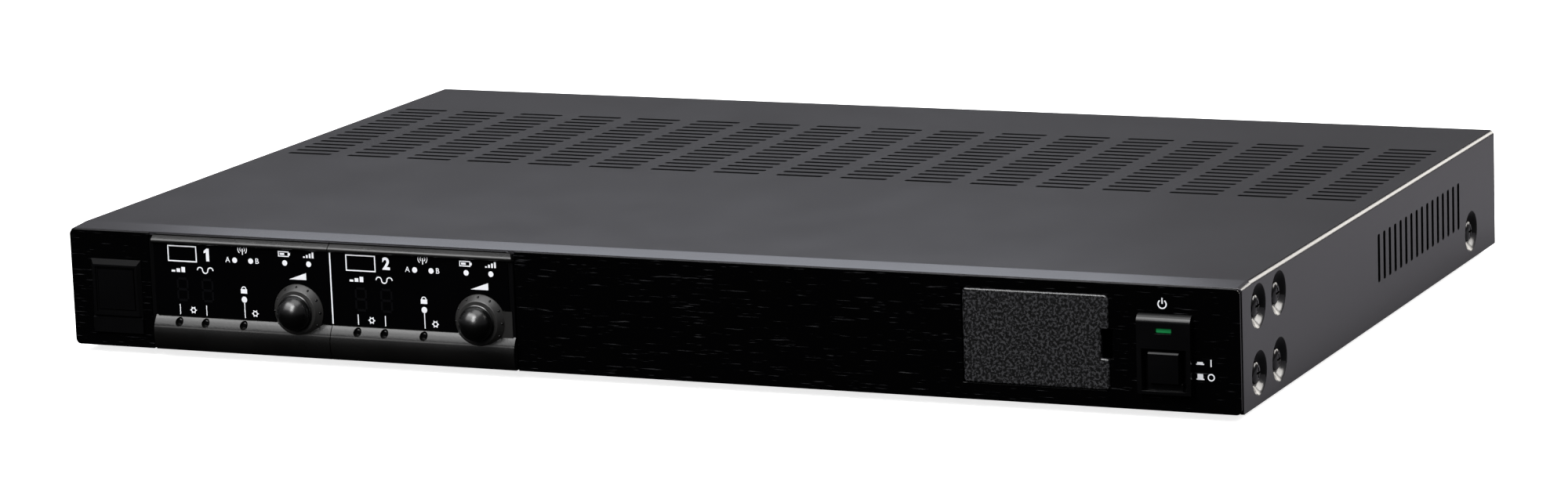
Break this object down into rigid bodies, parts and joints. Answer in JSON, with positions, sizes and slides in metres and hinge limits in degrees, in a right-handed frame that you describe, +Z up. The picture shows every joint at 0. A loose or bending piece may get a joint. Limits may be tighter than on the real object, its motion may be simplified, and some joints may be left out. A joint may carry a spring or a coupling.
{
  "type": "wireless receiver unit",
  "caption": "Rack-width wireless microphone receiver: a low vented steel cabinet with plug-in tuner modules, volume knobs, an access door and a push power switch.",
  "frame": {"origin": "bottom centre of the unit, on the plane under its four feet, midway between the knob tips and the ends of the rear sockets", "axes": "+X to the right seen from the front, -Y out of the front panel, +Z up"},
  "size_m": [0.42, 0.2994, 0.044],
  "materials": {
    "paint": "satin charcoal paint with a fine texture",
    "chassis_steel": "satin charcoal paint",
    "panel_black": "semi-gloss black",
    "window_black": "gloss",
    "bezel_grey": "satin, textured",
    "trim_black": "satin",
    "knob_black": "gloss",
    "door_grey": "coarse matte texture",
    "green_lens": "translucent green, gloss",
    "plain_steel": "zinc plated",
    "screw_black": "black oxide",
    "brass": "nickel plated",
    "circuit": "green solder mask",
    "plastic": "moulded black",
    "rubber": "matte"
  },
  "bodies": {
    "root": {"top_cover": "paint", "base_chassis": "chassis_steel", "front_panel": "panel_black", "foot_1": "rubber", "foot_2": "rubber", "foot_3": "rubber", "foot_4": "rubber", "screw_left_1": "screw_black", "screw_left_2": "screw_black", "screw_left_3": "screw_black", "screw_left_4": "screw_black", "screw_left_5": "screw_black", "screw_right_1": "screw_black", "screw_right_2": "screw_black", "screw_right_3": "screw_black", "screw_right_4": "screw_black", "screw_right_5": "screw_black", "module_1_bezel": "bezel_grey", "module_1_window": "window_black", "module_1_display": "plastic", "module_1_front_board": "circuit", "tuner_board_1": "circuit", "volume_pot_1": "plain_steel", "tuner_shield_1": "plain_steel", "module_2_bezel": "bezel_grey", "module_2_window": "window_black", "module_2_display": "plastic", "module_2_front_board": "circuit", "tuner_board_2": "circuit", "volume_pot_2": "plain_steel", "tuner_shield_2": "plain_steel", "blank_bezel": "trim_black", "blank_cap": "trim_black", "power_bezel": "trim_black", "access_well": "plastic", "power_switch": "plastic", "output_jack_1": "plastic", "output_jack_2": "plastic", "output_terminals": "plastic", "mains_inlet": "plastic", "setting_switch": "plain_steel", "power_transformer": "plain_steel", "power_lens": "green_lens", "main_board": "circuit", "power_supply_board": "circuit", "aerial_socket_a": "brass", "aerial_socket_b": "brass"},
    "knob_1": {"volume_knob_1": "knob_black", "volume_shaft_1": "plain_steel"},
    "knob_2": {"volume_knob_2": "knob_black", "volume_shaft_2": "plain_steel"},
    "group_set_1": {"group_button_1": "trim_black"},
    "channel_set_1": {"channel_button_1": "trim_black"},
    "security_set_1": {"security_button_1": "trim_black"},
    "group_set_2": {"group_button_2": "trim_black"},
    "channel_set_2": {"channel_button_2": "trim_black"},
    "security_set_2": {"security_button_2": "trim_black"},
    "power_push": {"power_button": "trim_black"},
    "door": {"access_door": "door_grey"}
  },
  "joints": [
    {"name": "volume_1_turn", "type": "hinge", "parent": "root", "child": "knob_1", "pos_m": [-0.122, -0.1453, 0.019], "axis": [0, 1, 0], "range_deg": [-150, 150]},
    {"name": "volume_2_turn", "type": "hinge", "parent": "root", "child": "knob_2", "pos_m": [-0.054, -0.1453, 0.019], "axis": [0, 1, 0], "range_deg": [-150, 150]},
    {"name": "group_1_press", "type": "slide", "parent": "root", "child": "group_set_1", "axis": [0, 1, 0], "range_m": [0, 0.0005], "stiffness_N_per_m": 1000, "springref_m": -0.001},
    {"name": "channel_1_press", "type": "slide", "parent": "root", "child": "channel_set_1", "axis": [0, 1, 0], "range_m": [0, 0.0005], "stiffness_N_per_m": 1000, "springref_m": -0.001},
    {"name": "security_1_press", "type": "slide", "parent": "root", "child": "security_set_1", "axis": [0, 1, 0], "range_m": [0, 0.0005], "stiffness_N_per_m": 1000, "springref_m": -0.001},
    {"name": "group_2_press", "type": "slide", "parent": "root", "child": "group_set_2", "axis": [0, 1, 0], "range_m": [0, 0.0005], "stiffness_N_per_m": 1000, "springref_m": -0.001},
    {"name": "channel_2_press", "type": "slide", "parent": "root", "child": "channel_set_2", "axis": [0, 1, 0], "range_m": [0, 0.0005], "stiffness_N_per_m": 1000, "springref_m": -0.001},
    {"name": "security_2_press", "type": "slide", "parent": "root", "child": "security_set_2", "axis": [0, 1, 0], "range_m": [0, 0.0005], "stiffness_N_per_m": 1000, "springref_m": -0.001},
    {"name": "power_press", "type": "slide", "parent": "root", "child": "power_push", "axis": [0, 1, 0], "range_m": [0, 0.003], "stiffness_N_per_m": 600, "springref_m": -0.003},
    {"name": "door_swing", "type": "hinge", "parent": "root", "child": "door", "pos_m": [0.1184, -0.1394, 0.024], "axis": [0, 0, -1], "range_deg": [0, 95]}
  ]
}
